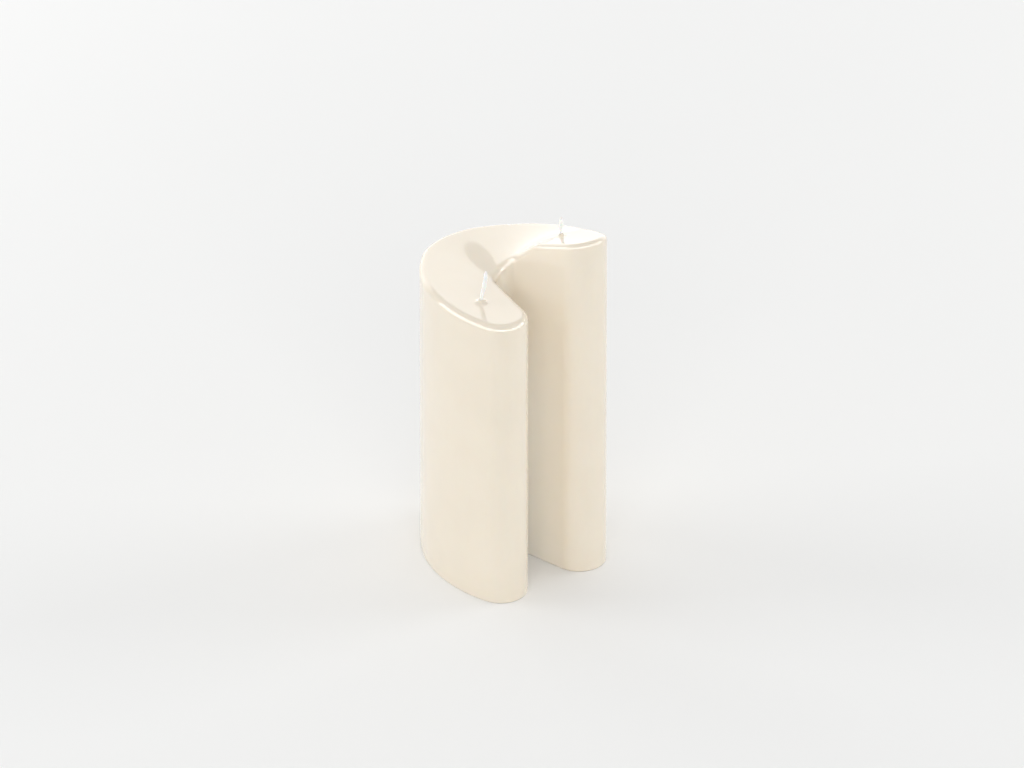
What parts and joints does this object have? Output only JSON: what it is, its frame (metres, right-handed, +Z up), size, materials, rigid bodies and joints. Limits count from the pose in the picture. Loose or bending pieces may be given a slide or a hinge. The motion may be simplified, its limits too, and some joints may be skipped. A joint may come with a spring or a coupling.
{
  "type": "pillar candle",
  "caption": "Glossy cream pillar candle of heart-shaped plan, with a cleft down one side, a top that climbs like a ramp round the cleft, and a wick in each lobe.",
  "frame": {"origin": "on the floor, under the middle of the bounding box", "axes": "+Z up along the walls; the cleft opens towards -Y; the low lobe is at -X and the high lobe at +X"},
  "size_m": [0.088, 0.099, 0.2004],
  "materials": {
    "core_wax": "matte pressed wax",
    "coat_wax": "glossy dipped wax",
    "wick_cotton": "waxed braided cotton",
    "tab_metal": "pressed tinned steel"
  },
  "bodies": {
    "root": {"wax_core": "core_wax", "gloss_coat": "coat_wax", "low_wick": "wick_cotton", "high_wick": "wick_cotton", "low_wick_tab": "tab_metal", "high_wick_tab": "tab_metal"}
  },
  "joints": []
}
